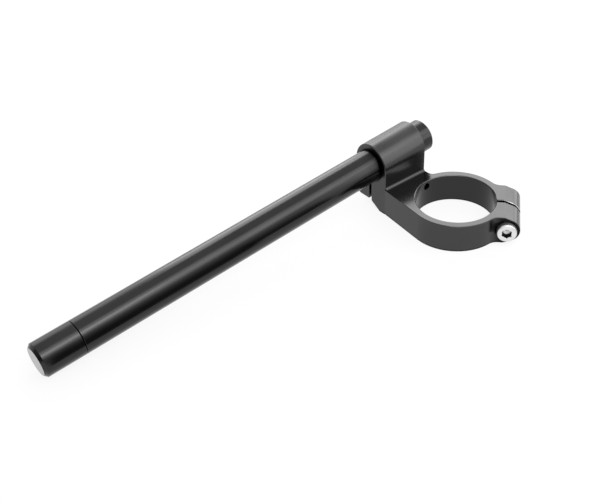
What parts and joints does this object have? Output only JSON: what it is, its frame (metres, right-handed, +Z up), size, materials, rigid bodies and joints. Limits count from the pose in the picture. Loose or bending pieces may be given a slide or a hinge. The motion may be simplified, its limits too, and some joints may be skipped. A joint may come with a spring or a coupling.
{
  "type": "clip-on handlebar",
  "caption": "Right-hand motorbike clip-on handlebar: a split ring clamps the fork leg, and a raised split barrel clamps a straight bar tube with an end plug.",
  "frame": {"origin": "centre of the fork bore at the mid-height of the ring", "axes": "+Z up along the fork leg, +X outward along the bar (the rider's right), +Y forward from the bar to the fork leg"},
  "size_m": [0.3237, 0.1112, 0.0509],
  "materials": {
    "clamp_body": "milled and satin black anodised",
    "bar_tube": "drawn and gloss black anodised",
    "bar_end_plug": "turned and gloss black anodised",
    "pinch_bolts": "bright plated"
  },
  "bodies": {
    "root": {"clamp_body": "clamp_body", "bar_tube": "bar_tube", "bar_end_plug": "bar_end_plug", "fork_pinch_bolt": "pinch_bolts", "bar_pinch_bolt_1": "pinch_bolts", "bar_pinch_bolt_2": "pinch_bolts"}
  },
  "joints": []
}
